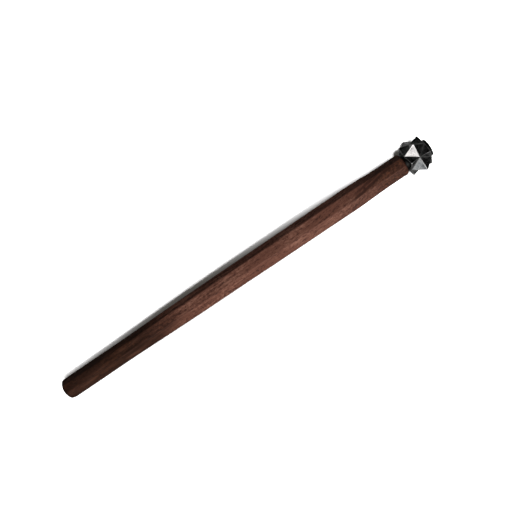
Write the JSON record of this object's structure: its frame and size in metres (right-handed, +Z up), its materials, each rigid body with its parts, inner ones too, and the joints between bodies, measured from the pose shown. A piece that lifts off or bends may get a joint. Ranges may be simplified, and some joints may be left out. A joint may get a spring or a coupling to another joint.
{
  "type": "ceremonial mace",
  "caption": "Short mace lying at rest: an eight-sided hardwood haft through a spiked cast metal head.",
  "frame": {"origin": "on the surface that the mace lies on, under the middle of its outline", "axes": "+X along the haft from the butt to the head, +Z up, +Y to the left of the haft seen from above"},
  "size_m": [0.6002, 0.0456, 0.0453],
  "materials": {
    "hardwood": "dark red-brown hardwood, rubbed satin, lighter along the middle",
    "dark_steel": "polished dark cast metal with crisp facets"
  },
  "bodies": {
    "root": {"haft": "hardwood", "mace_head": "dark_steel"}
  },
  "joints": []
}
